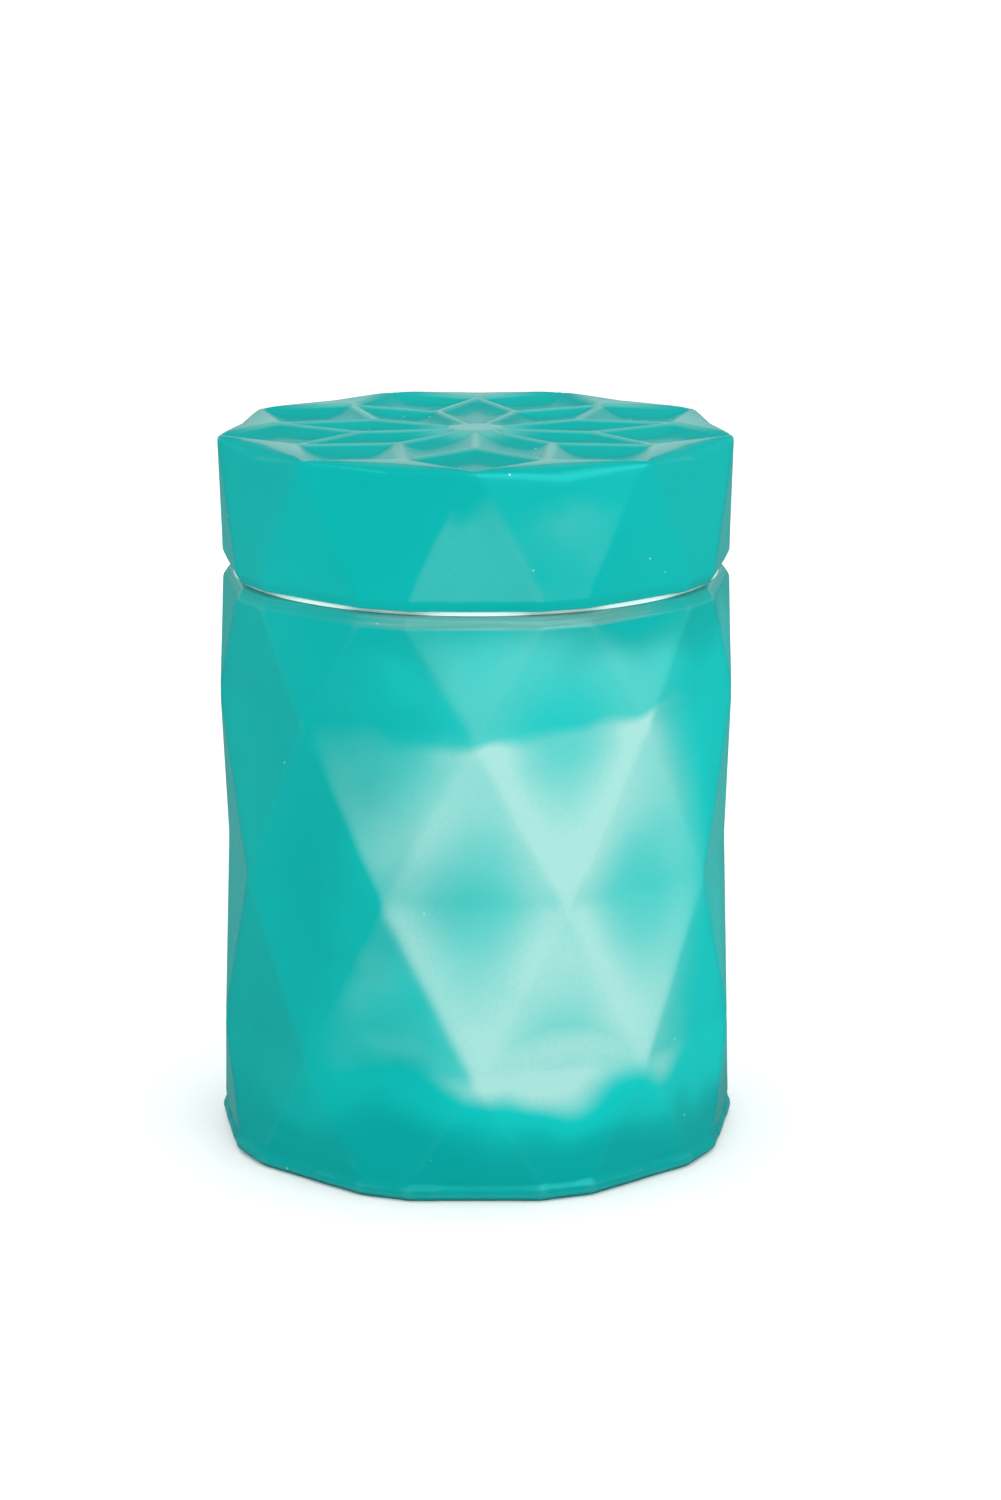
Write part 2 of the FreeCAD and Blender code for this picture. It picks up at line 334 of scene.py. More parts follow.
def make_jar():
    turn = azimuths(COLUMNS)
    rings = [(0, RECESS_DEPTH)]
    rings += straight((MIDDLE_RING, RECESS_DEPTH), (RECESS_RADIUS - 0.6, RECESS_DEPTH), 7.0)
    edge = RECESS_EDGE_ROUND
    rings += arc((RECESS_RADIUS - edge, RECESS_DEPTH - edge), edge, 90, 0, 3)
    rings += arc((RECESS_RADIUS + edge, edge), edge, 180, 270, 3)
    base = soft_radius(JAR_LEVELS, turn, 0.0, LIP_SOFTNESS)
    rings += [(RECESS_RADIUS + (base - RECESS_RADIUS) * share, 0.0) for share in (0.3, 0.6, 0.9, 0.98)]
    for z in jar_wall_heights():
        from_end = min(z, JAR_TOP_Z - z)
        softness = np.interp(from_end, [HEEL_WALL_Z, 3 * HEEL_WALL_Z], [LIP_SOFTNESS, FOLD_SOFTNESS])
        rings.append((soft_radius(JAR_LEVELS, turn, z, softness) - lip_wear(turn, z), z))
    rim = soft_radius(JAR_LEVELS, turn, JAR_TOP_Z, LIP_SOFTNESS) - RIM_EDGE_INSET
    mouth_radius = BORE_RADIUS + BORE_MOUTH_ROUND
    rings += [(mouth_radius + (rim - mouth_radius) * share, JAR_TOP_Z) for share in (1.0, 0.7, 0.35)]
    rings += arc((mouth_radius, JAR_TOP_Z - BORE_MOUTH_ROUND), BORE_MOUTH_ROUND, 90, 180)
    fillet_z = BORE_FLOOR_Z + BORE_FLOOR_FILLET
    rings += straight((BORE_RADIUS, JAR_TOP_Z - BORE_MOUTH_ROUND - 2), (BORE_RADIUS, fillet_z), 8.0)
    rings += arc((BORE_RADIUS - BORE_FLOOR_FILLET, fillet_z), BORE_FLOOR_FILLET, 0, -90, 8)
    rings += straight((BORE_FLOOR_RING, BORE_FLOOR_Z), (MIDDLE_RING, BORE_FLOOR_Z), 8.0)
    rings += [(MIDDLE_RING, BORE_FLOOR_Z), (0, BORE_FLOOR_Z)]
    return skin("jar_body", rings)


# ---- lid ---------------------------------------------------------------------------------
def distance_to(start, end, x, y):
    """Distance of points in the plane from a straight ridge."""
    way_x, way_y = end[0] - start[0], end[1] - start[1]
    along = (x - start[0]) * way_x + (y - start[1]) * way_y
    along = np.clip(along / math.dist(start, end) ** 2, 0, 1)
    return np.hypot(x - start[0] - along * way_x, y - start[1] - along * way_y)


def side_of(start, end, x, y):
    """Positive to the left of the line from start to end."""
    return (end[0] - start[0]) * (y - start[1]) - (end[1] - start[1]) * (x - start[0])


def dish(distance, ramp, depth):
    """Depth of a smooth hollow at a distance from its edge: steep there and level at its bottom."""
    return depth * (1 - (1 - np.clip(distance / ramp, 0, 1)) ** 2)


def sharp_star(x, y):
    """How far the lid's top lies below its ridges, at points in the plane."""
    angle = folded(np.arctan2(x, -y))
    radius = np.hypot(x, y)
    u = radius * np.cos(angle)
    v = radius * np.sin(angle)
    inner = (STAR_INNER_RADIUS, 0.0)
    outer = (STAR_OUTER_RADIUS * math.cos(HALF_SIDE), STAR_OUTER_RADIUS * math.sin(HALF_SIDE))
    corner = (LID_CORNER_RADIUS, 0.0)
    distance = np.minimum(distance_to((0.0, 0.0), inner, u, v), distance_to(inner, outer, u, v))
    distance = np.minimum(distance, distance_to(outer, corner, u, v))
    distance = np.minimum(distance, np.maximum(radius - SUMMIT_RADIUS, 0.0))
    in_petal = side_of(inner, outer, u, v) > 0
    in_rim = side_of(outer, corner, u, v) > 0
    hollow = np.where(in_petal, dish(distance, PETAL_RAMP, PETAL_DEPTH),
                      dish(distance, DIAMOND_RAMP, DIAMOND_DEPTH))
    return np.where(in_rim & ~in_petal, 0.0, hollow)


def star_height(azimuth, radius):
    """Height of the lid's top, with the ridges of its star rounded."""
    x = radius * np.sin(azimuth)
    y = -radius * np.cos(azimuth)
    total = 0.0
    for step_x, weight_x in zip(SOFT_OFFSETS, SOFT_WEIGHTS):
        for step_y, weight_y in zip(SOFT_OFFSETS, SOFT_WEIGHTS):
            below = sharp_star(x + step_x * RIDGE_SOFTNESS, y + step_y * RIDGE_SOFTNESS)
            total = total + weight_x * weight_y * below
    return LID_TOP_Z - total


def rolled(start, middle, end, share):
    """Value along a smooth curve from start to end that leans towards the middle one."""
    return (1 - share) ** 2 * start + 2 * share * (1 - share) * middle + share ** 2 * end


def make_lid():
    turn = azimuths(COLUMNS)
    hollow_radius = HOLLOW_MOUTH_RADIUS - HOLLOW_DRAFT
    rings = [(0, LID_CEILING_Z)]
    rings += straight((MIDDLE_RING, LID_CEILING_Z), (hollow_radius - HOLLOW_ROUND, LID_CEILING_Z), 7.0)
    rings += arc((hollow_radius - HOLLOW_ROUND, LID_CEILING_Z - HOLLOW_ROUND), HOLLOW_ROUND, 90, 0, 5)
    mouth_z = PLUG_BOTTOM_Z + HOLLOW_MOUTH_ROUND
    rings += straight((hollow_radius, LID_CEILING_Z - 4.0), (HOLLOW_MOUTH_RADIUS, mouth_z), 6.0)
    rings += arc((HOLLOW_MOUTH_RADIUS + HOLLOW_MOUTH_ROUND, mouth_z), HOLLOW_MOUTH_ROUND, 180, 270, 4)
    rings += arc((PLUG_RADIUS - PLUG_ROUND, PLUG_BOTTOM_Z + PLUG_ROUND), PLUG_ROUND, -90, 0, 4)
    groove_bottom = SEAL_BOTTOM_Z - SEAL_GAP
    edge = GROOVE_EDGE_ROUND
    rings += arc((PLUG_RADIUS - edge, groove_bottom - edge), edge, 0, 90, 3)
    rings += straight((GROOVE_RADIUS, groove_bottom), (GROOVE_RADIUS, LID_BOTTOM_Z), 3.0)
    underside = soft_radius(LID_LEVELS, turn, LID_BOTTOM_Z, LIP_SOFTNESS) - LID_EDGE_INSET - GROOVE_RADIUS
    rings += [(GROOVE_RADIUS + underside * share, LID_BOTTOM_Z) for share in (0.0, 0.5, 0.9, 1.0)]

    edge_radius = sharp_radius(LID_LEVELS, turn, LID_TOP_Z)
    between = (folded(turn) / HALF_SIDE) ** EDGE_ROLL_POWER
    roll = EDGE_ROLL_AT_CORNER + (EDGE_ROLL_BETWEEN - EDGE_ROLL_AT_CORNER) * between
    wall_start = LID_BOTTOM_Z + 0.2
    bevel_end = LID_BOTTOM_Z + LID_BEVEL_HEIGHT + 0.8
    for z in np.arange(wall_start, bevel_end, FINE_STEP):
        rings.append((soft_radius(LID_LEVELS, turn, z, LIP_SOFTNESS), z))
    roll_start_z = LID_TOP_Z - roll
    for share in np.linspace(0, 1, LID_WALL_ROWS):
        z = bevel_end + (roll_start_z - bevel_end) * share
        softness = np.interp(share, [0.0, 0.2], [LIP_SOFTNESS, FOLD_SOFTNESS])
        rings.append((soft_radius(LID_LEVELS, turn, z, softness), z))
    wall_radius = rings[-1][0]
    sharp_edge = wall_radius + (edge_radius - sharp_radius(LID_LEVELS, turn, roll_start_z))
    top_radius = sharp_edge - roll
    top_z = star_height(turn, top_radius)
    for share in np.linspace(0, 1, EDGE_ROLL_ROWS)[1:]:
        radius = rolled(wall_radius, sharp_edge, top_radius, share)
        rings.append((radius, rolled(roll_start_z, LID_TOP_Z, top_z, share)))
    for share in np.linspace(1, 0, STAR_ROWS)[1:-1]:
        radius = share * top_radius
        rings.append((radius, star_height(turn, radius)))
    rings.append((0, float(star_height(0.0, 0.0))))
    return skin("lid_body", rings)


# ---- seal, wax, wicks, tabs, stickers, label ---------------------------------------------
def make_seal():
    inner = GROOVE_RADIUS + SEAL_GAP
    sleeve = inner + SEAL_SLEEVE
    flange_bottom = JAR_TOP_Z
    foot = SEAL_FOOT_CHAMFER
    rings = [(inner, SEAL_TOP_Z), (inner, SEAL_BOTTOM_Z + foot)]
    rings += [(inner + foot, SEAL_BOTTOM_Z), (sleeve - foot, SEAL_BOTTOM_Z), (sleeve, SEAL_BOTTOM_Z + foot)]
    pitch = (flange_bottom - SEAL_BOTTOM_Z) / (SEAL_FIN_COUNT + 0.5)
    for index in range(SEAL_FIN_COUNT):
        fin_z = SEAL_BOTTOM_Z + (index + 0.5) * pitch
        for share in np.linspace(-1, 1, FIN_ROWS):
            reach = SEAL_FIN_REACH * math.cos(share * math.pi / 2) ** 2
            rings.append((sleeve + reach, fin_z + SEAL_FIN_HALF_HEIGHT * share))
    rings += [(sleeve, flange_bottom - SEAL_FLANGE_FILLET), (sleeve + SEAL_FLANGE_FILLET, flange_bottom)]
    corner = SEAL_FLANGE_RADIUS - SEAL_EDGE_ROUND
    rings += arc((corner, flange_bottom + SEAL_EDGE_ROUND), SEAL_EDGE_ROUND, -90, 10, 4)
    rings += arc((corner - SEAL_EDGE_LEAN, SEAL_TOP_Z - SEAL_EDGE_ROUND), SEAL_EDGE_ROUND, 10, 90, 4)
    return skin("seal_ring", rings, SMALL_COLUMNS, closed_loop=True)


def make_wax():
    radius = BORE_RADIUS - GLASS_GAP
    turn = azimuths(SMALL_COLUMNS)
    fillet_z = WAX_BOTTOM_Z + BORE_FLOOR_FILLET
    rings = [(0, WAX_BOTTOM_Z)]
    rings += straight((5.0, WAX_BOTTOM_Z), (radius - BORE_FLOOR_FILLET, WAX_BOTTOM_Z), 10.0)
    rings += arc((radius - BORE_FLOOR_FILLET, fillet_z), BORE_FLOOR_FILLET, -90, 0, 8)
    rings += straight((radius, fillet_z + 4), (radius, WAX_TOP_Z), 6.0)
    for share in np.linspace(1, 0, WAX_SURFACE_ROWS)[:-1]:
        ring_radius = radius * share
        rings.append((ring_radius, wax_surface(turn, ring_radius, radius)))
    rings.append((0, float(wax_surface(0.0, 0.0, radius))))
    return skin("wax_body", rings, SMALL_COLUMNS)


def wax_surface(azimuth, radius, wall_radius):
    """Set wax: drawn up at the glass, sunk a little in the middle, collared and cupped at each wick."""
    x = radius * np.sin(azimuth)
    y = -radius * np.cos(azimuth)
    level = WAX_TOP_Z - WAX_EDGE_SINK
    level = level + WAX_CLIMB[0] * np.exp(-(wall_radius - radius) / WAX_CLIMB[1])
    level = level - WAX_MIDDLE_SINK * (1 - (radius / wall_radius) ** 2)
    for number in range(1, WICK_COUNT + 1):
        wick_x, wick_y = axis_of(f"wick_{number}")
        distance = np.hypot(x - wick_x, y - wick_y)
        collar = WICK_COLLAR[0] * np.exp(-(distance / WICK_COLLAR[1]) ** 2)
        level = level + collar - WICK_CUP[0] * np.exp(-(distance / WICK_CUP[1]) ** 2)
    return level


def tube(path, radius, sides):
    """Vertices and faces of a round tube with flat ends along a list of points."""
    path = np.array(path)
    along = np.gradient(path, axis=0)
    along /= np.linalg.norm(along, axis=1)[:, None]
    across = np.cross(along, [1.0, 0.0, 0.0])
    across /= np.linalg.norm(across, axis=1)[:, None]
    third = np.cross(along, across)
    vertices = []
    for angle in azimuths(sides):
        vertices.append(path + radius * (math.cos(angle) * across + math.sin(angle) * third))
    vertices = np.array(vertices).transpose(1, 0, 2).reshape(-1, 3)
    faces = []
    for i in range(len(path) - 1):
        for j in range(sides):
            after = (j + 1) % sides
            here, above = i * sides, (i + 1) * sides
            faces.append((here + j, here + after, above + after, above + j))
    last = (len(path) - 1) * sides
    faces.append(tuple(range(sides))[::-1])
    faces.append(tuple(last + j for j in range(sides)))
    return vertices, faces


def make_wick(number):
    """Cotton strands twisted round each other."""
    node = f"wick_{number}"
    x, y = axis_of(node)
    bottom, top = levels(node)
    orbit = WICK_RADIUS - STRAND_RADIUS
    heights = np.linspace(bottom + WICK_END_GAP, top - WICK_END_GAP, WICK_ROWS)
    vertices, faces = np.empty((0, 3)), []
    for strand in range(WICK_STRANDS):
        spin = 2 * math.pi * (heights / WICK_TWIST_PITCH + strand / WICK_STRANDS)
        path = np.stack([x + orbit * np.cos(spin), y + orbit * np.sin(spin), heights], axis=1)
        more_vertices, more_faces = tube(path, STRAND_RADIUS, STRAND_SIDES)
        faces += [tuple(i + len(vertices) for i in face) for face in more_faces]
        vertices = np.vstack([vertices, more_vertices])
    return mesh_object(f"wick_braid_{number}", vertices, faces)


def make_wick_tab(number):
    """Stamped steel disc with a rolled edge, a stiffening rib and a crimped neck."""
    node = f"wick_tab_{number}"
    bottom, top = levels(node)
    upper = bottom + TAB_SHEET
    half = TAB_SHEET / 2
    rib_in, crest_in, crest_out, rib_out = TAB_RIB
    hole = WICK_RADIUS
    neck = TAB_NECK_RADIUS
    fillet = TAB_NECK_FILLET
    rings = [(hole, bottom), (hole + 0.8, bottom), (rib_in, bottom)]
    rings += [(crest_in, bottom + TAB_RIB_HEIGHT), (crest_out, bottom + TAB_RIB_HEIGHT)]
    rings += [(rib_out, bottom), (TAB_RADIUS - half, bottom)]
    rings += arc((TAB_RADIUS - half, bottom + half), half, -60, 60, 4)
    rings += [(TAB_RADIUS - half, upper), (rib_out + 0.1, upper)]
    rings += [(crest_out, upper + TAB_RIB_HEIGHT), (crest_in, upper + TAB_RIB_HEIGHT)]
    rings += [(rib_in - 0.1, upper), (neck + fillet, upper)]
    rings += arc((neck + fillet, upper + fillet), fillet, 270, 180, 5)
    rings += [(neck - 0.1, top - 1.6), (neck - TAB_CRIMP, top - 1.2), (neck - TAB_CRIMP, top - 0.8)]
    rings += [(neck - 0.05, top - 0.3), (neck - 0.2, top), (hole, top), (hole, bottom + 1.0)]
    return skin(f"wick_tab_plate_{number}", rings, TAB_COLUMNS, axis_of(node), closed_loop=True)


def make_sticker(number):
    node = f"tab_sticker_{number}"
    bottom, top = levels(node)
    half = (top - bottom) / 2
    rings = [(0, bottom), (MIDDLE_RING, bottom), (STICKER_RADIUS - half, bottom)]
    rings += arc((STICKER_RADIUS - half, bottom + half), half, -75, 75, 6)
    rings += [(STICKER_RADIUS - half, top), (MIDDLE_RING, top), (0, top)]
    return skin(f"sticker_pad_{number}", rings, STICKER_COLUMNS, axis_of(node))


def make_label():
    bottom, top = levels("base_label")
    rings = [(0, bottom), (10.0, bottom), (20.0, bottom), (LABEL_RADIUS - 0.1, bottom)]
    rings += [(LABEL_RADIUS, (bottom + top) / 2), (LABEL_RADIUS - 0.1, top), (20.0, top), (0, top)]
    return skin("label_disc", rings, SMALL_COLUMNS)


# ---- how the glass is coloured -----------------------------------------------------------
# Noises are (scale per metre, detail), bumps (strength, height in metres), wanders (scale per
# metre, reach). Heights and radii are in millimetres, azimuths and elevations in degrees. A range
# of cosines is where a mask comes up, as the glass faces nearer to a direction.
TEAL_DEEP = (0.001, 0.44, 0.41)
TEAL_LIGHT = (0.003, 0.48, 0.45)
# painted glow on the jar's lit side, where light comes through the glass
TEAL_PAINTED_GLOW = (0.003, 0.60, 0.56)
TEAL_FLOOR = (0.001, 0.40, 0.38)            # where the glass is solid, under the wax
# pale of the painted sheen, glow and highlights on the glass, and of its seeds
PAINTED_SHEEN_AND_SEED_PALE = (0.43, 0.79, 0.73)
# greys of the painted reflection on the jar's rim bevel
RIM_REFLECTION_GREY = (0.13, 0.42, 0.38)
RIM_REFLECTION_PALE = (0.30, 0.58, 0.54)

GLASS_IOR = 1.45
GLASS_SHEEN = (0.15, 1.0, 1.0, 1.0)         # the glass keeps some of its colour in reflections
GLASS_ROUGHNESS = (0.18, 0.265)
TINT_NOISE = (18.0, 2.0)
POLISH_NOISE = (34.0, 2.0)
RIPPLE_NOISE = (90.0, 1.0)
RIPPLE_BUMP = (0.05, 0.0006)
SPECKLE_NOISE = (1600.0, 3.0)
SPECKLE_ROUGHNESS = 0.6
SPECKLE_STRENGTH = (0.93, 1.05)
SEED_SCALE = 150.0
SEED_SIZE = (0.02, 0.04)                    # share of a seed's cell that is solid, and soft
FOLD_POINTEDNESS = (0.506, 0.525)           # how pointed a fold is where its painted highlight starts and ends
FOLD_HIGHLIGHT = 0.05

LID_TRANSMISSION = 0.25
# painted sheen low on the front of the lid's wall, on the side turned to the lamps
PATCH_FROM = LID_BOTTOM_Z + 1.0
PATCH_TO = LID_TOP_Z - 9.0
PATCH_SOFT_ENDS = (1.0, 4.0)
PATCH_WANDER = (60.0, 0.006)
PATCH_AZIMUTH = 5.0
PATCH_COSINES = (0.93, 0.99)
PATCH_SIDE_WANDER = (45.0, 0.03)
PATCH_STRENGTH = 0.09
# painted highlights on the star's ridges and on its summit
RIDGE_HEIGHTS = (LID_TOP_Z - 0.7, LID_TOP_Z - 0.05)
RIDGE_FADE_RADII = (STAR_OUTER_RADIUS, CORNER_RADIUS - 2.0)
RIDGE_HIGHLIGHT = 0.35
SUMMIT_HEIGHTS = (LID_TOP_Z - DIAMOND_DEPTH, LID_TOP_Z - 0.5)
SUMMIT_FADE_RADII = (4.0, 14.0)
SUMMIT_HIGHLIGHT = 0.3

JAR_TRANSMISSION = 0.3
JAR_WANDER = (45.0, 0.005)
# painted glow on the jar's lit side
BRIGHT_AZIMUTH = 35.0
BRIGHT_COSINES = (0.3, 0.9)
BRIGHT_WANDER = (40.0, 0.15)
BRIGHT_FROM = WAX_BOTTOM_Z - 1.0
BRIGHT_TO = JAR_TOP_Z - 8.0
BRIGHT_SOFT_ENDS = (4.5, 5.0)
SOLID_HEIGHTS = (WAX_BOTTOM_Z - 8.0, WAX_BOTTOM_Z + 1.0)
# painted glow and sheen of the lit wax seen through the jar, on its lit side
WAX_GLOW_AZIMUTH = 24.0
WAX_GLOW_ELEVATION = 35.0
WAX_GLOW_COSINES = (0.42, 0.90)
WAX_GLOW_WANDER = (55.0, 0.05)
WAX_GLOW_STRENGTH = 1.08
WAX_GLOW_MIDDLE = 12.0                         # azimuth it fades away from, on both sides
WAX_GLOW_MIDDLE_COSINES = (0.60, 0.97)
FOOT_HEIGHTS = (WAX_BOTTOM_Z + 2.0, WAX_BOTTOM_Z + 9.0)
FOOT_RISE = 18.0                            # how much higher its foot is a quarter turn from WAX_GLOW_AZIMUTH
FILL_HEIGHTS = (WAX_TOP_Z + 0.5, WAX_TOP_Z + 5.0)
FILL_RISE = 4.0                             # how much higher its top is on the right than at the front
ABOVE_FILL_TO = JAR_TOP_Z - 6.0
ABOVE_FILL_SOFT_ENDS = (3.5, 6.0)
ABOVE_FILL_STRENGTH = 0.22                  # what is left of it between the fill and the rim
CREASE_RADIUS = CORNER_RADIUS * math.cos(HALF_SIDE)
CREASE_RADII = (CREASE_RADIUS, CREASE_RADIUS + 2.3)
CREASE_STRENGTH = 0.25                      # what is left of it in the creases
LOW_HEIGHTS = (LOWEST_ROW_Z + 4.0, LOWEST_ROW_Z + 16.0)  # the creases matter only above these
# painted reflection on the rim's bevel, strongest at the front
RIM_HEIGHTS = (JAR_TOP_Z - RIM_BEVEL_HEIGHT - 0.4, JAR_TOP_Z - RIM_BEVEL_HEIGHT + 0.2)
RIM_AZIMUTH = 10.0
RIM_COSINES = (0.75, 0.97)
RIM_STRENGTH = (0.1, 1.0)                   # at the back and at RIM_AZIMUTH
RIM_NOISE = (45.0, 2.0)
RIM_LINE_CUT = (0.45, 0.65)                 # noise at which a painted reflection line starts, and is full
RIM_LINE_STRENGTH = 0.5
RIM_LINE_STRETCH = 45.0                     # how much finer the rim's lines are up than along


# ---- materials ---------------------------------------------------------------------------
def new_material(name, settings):
    """Node material with one Principled shader; returns it with its node tree and shader."""
    material = bpy.data.materials.new(name)
    material.use_nodes = True
    shader = material.node_tree.nodes["Principled BSDF"]
    for socket, value in settings.items():
        shader.inputs[socket].default_value = value
    return material, material.node_tree, shader


def place_texture(tree):
    """Texture coordinates in metres in the part's own frame."""
    return tree.nodes.new("ShaderNodeTexCoord").outputs["Object"]


def noise(tree, scale, detail, place, roughness=0.5):
    node = tree.nodes.new("ShaderNodeTexNoise")
    node.inputs["Scale"].default_value = scale
    node.inputs["Detail"].default_value = detail
    node.inputs["Roughness"].default_value = roughness
    tree.links.new(place, node.inputs["Vector"])
    return node.outputs["Fac"]


def spread(tree, value, from_range, to_range):
    """Maps a value smoothly from one range to another, and holds it inside the new one."""
    node = tree.nodes.new("ShaderNodeMapRange")
    node.interpolation_type = "SMOOTHSTEP"
    for socket, number in zip(("From Min", "From Max", "To Min", "To Max"), from_range + to_range):
        node.inputs[socket].default_value = number
    tree.links.new(value, node.inputs["Value"])
    return node.outputs["Result"]


def spread_over(tree, length, ends, to_range):
    """The same for a length in metres, between two ends in millimetres."""
    return spread(tree, length, (ends[0] * MM, ends[1] * MM), to_range)


def mixed_colour(tree, factor, first, second):
    """First colour where the factor is 0 and second where it is 1; each is a socket or numbers."""
    node = tree.nodes.new("ShaderNodeMix")
    node.data_type = "RGBA"
    for socket, colour in ((6, first), (7, second)):
        if isinstance(colour, bpy.types.NodeSocket):
            tree.links.new(colour, node.inputs[socket])
        else:
            node.inputs[socket].default_value = (*colour, 1.0)
    tree.links.new(factor, node.inputs["Factor"])
    return node.outputs[2]


def add_bump(tree, shader, height, strength, distance):
    """Unevenness of the surface, as deep as the distance in metres."""
    node = tree.nodes.new("ShaderNodeBump")
    node.inputs["Strength"].default_value = strength
    node.inputs["Distance"].default_value = distance
    tree.links.new(height, node.inputs["Height"])
    tree.links.new(node.outputs["Normal"], shader.inputs["Normal"])


def height_of(tree, place):
    """Height above the table, in metres."""
    node = tree.nodes.new("ShaderNodeSeparateXYZ")
    tree.links.new(place, node.inputs["Vector"])
    return node.outputs["Z"]


def combined(tree, operation, first, second):
    """Result of a Math node on two sockets or numbers."""
    node = tree.nodes.new("ShaderNodeMath")
    node.operation = operation
    for socket, value in zip(node.inputs, (first, second)):
        if isinstance(value, bpy.types.NodeSocket):
            tree.links.new(value, socket)
        else:
            socket.default_value = value
    return node.outputs["Value"]


def stretched(tree, place, height_scale):
    """The place with its height multiplied: 0 leaves the height out, more than 1 draws level lines."""
    node = tree.nodes.new("ShaderNodeVectorMath")
    node.operation = "MULTIPLY"
    node.inputs[1].default_value = (1.0, 1.0, height_scale)
    tree.links.new(place, node.inputs[0])
    return node.outputs["Vector"]


def distance_from_axis(tree, place):
    """Distance from the upright axis, in metres."""
    node = tree.nodes.new("ShaderNodeVectorMath")
    node.operation = "LENGTH"
    tree.links.new(stretched(tree, place, 0.0), node.inputs[0])
    return node.outputs["Value"]


def facing(tree, place, azimuth):
    """Cosine of the angle round the axis between the place and an azimuth in degrees."""
    unit = tree.nodes.new("ShaderNodeVectorMath")
    unit.operation = "NORMALIZE"
    tree.links.new(stretched(tree, place, 0.0), unit.inputs[0])
    node = tree.nodes.new("ShaderNodeVectorMath")
    node.operation = "DOT_PRODUCT"
    node.inputs[1].default_value = direction(azimuth, 0.0)
    tree.links.new(unit.outputs["Vector"], node.inputs[0])
    return node.outputs["Value"]


def band(tree, height, low, high, soft_low, soft_high):
    """1 between two heights in millimetres and 0 beyond them, with soft ends."""
    above = spread_over(tree, height, (low - soft_low, low + soft_low), (0.0, 1.0))
    below = spread_over(tree, height, (high - soft_high, high + soft_high), (1.0, 0.0))
    return combined(tree, "MULTIPLY", above, below)


def direction(azimuth, elevation):
    """Unit vector at an azimuth and an elevation in degrees."""
    turn = math.radians(azimuth)
    rise = math.radians(elevation)
    return (math.sin(turn) * math.cos(rise), -math.cos(turn) * math.cos(rise), math.sin(rise))


def turned_to(tree, azimuth, elevation):
    """Cosine of the angle between the surface's normal and a direction, both in the room's frame.

    The normal isn't in the piece's frame, so what this draws doesn't turn with a piece that turns.
    """
    node = tree.nodes.new("ShaderNodeVectorMath")
    node.operation = "DOT_PRODUCT"
    node.inputs[1].default_value = direction(azimuth, elevation)
    tree.links.new(tree.nodes.new("ShaderNodeNewGeometry").outputs["Normal"], node.inputs[0])
    return node.outputs["Value"]


def seeds(tree, place):
    """1 in the few tiny bubbles that lie just under the surface."""
    node = tree.nodes.new("ShaderNodeTexVoronoi")
    node.inputs["Scale"].default_value = SEED_SCALE
    tree.links.new(place, node.inputs["Vector"])
    return spread(tree, node.outputs["Distance"], SEED_SIZE, (1.0, 0.0))


def grainy(tree, place, value):
    """A factor of painted sheen and glow broken up by the fine speckle of satin glass."""
    speckle = noise(tree, *SPECKLE_NOISE, place, SPECKLE_ROUGHNESS)
    speckle = spread(tree, speckle, (0.3, 0.7), SPECKLE_STRENGTH)
    return combined(tree, "MULTIPLY", value, speckle)


def fold_highlight(tree):
    """Painted highlights: thin pale lines along the outward folds, where they catch the light."""
    pointed = tree.nodes.new("ShaderNodeNewGeometry").outputs["Pointiness"]
    return spread(tree, pointed, FOLD_POINTEDNESS, (0.0, FOLD_HIGHLIGHT))


def wandering(tree, place, value, scale, reach, detail=2.0):
    """A value shifted up and down by a slow noise, so that edges drawn from it wander."""
    shift = spread(tree, noise(tree, scale, detail, place), (0.2, 0.8), (-reach, reach))
    return combined(tree, "ADD", value, shift)


def glass_material(name, transmission):
    """Pressed teal glass with an uneven tint, soft ripples from the mould and cloudy polish.

    Returns the material with its tree, shader, place and base colour, so that each glass piece
    can add its own painted sheen, glow and highlights, and its seeds.
    """
    material, tree, shader = new_material(name, {
        "Transmission Weight": transmission,
        "IOR": GLASS_IOR,
        "Specular Tint": GLASS_SHEEN,
    })
    place = place_texture(tree)
    tint = spread(tree, noise(tree, *TINT_NOISE, place), (0.25, 0.75), (0.0, 1.0))
    colour = mixed_colour(tree, tint, TEAL_DEEP, TEAL_LIGHT)
    rough = spread(tree, noise(tree, *POLISH_NOISE, place), (0.1, 0.9), GLASS_ROUGHNESS)
    tree.links.new(rough, shader.inputs["Roughness"])
    add_bump(tree, shader, noise(tree, *RIPPLE_NOISE, place), *RIPPLE_BUMP)
    return material, tree, shader, place, colour


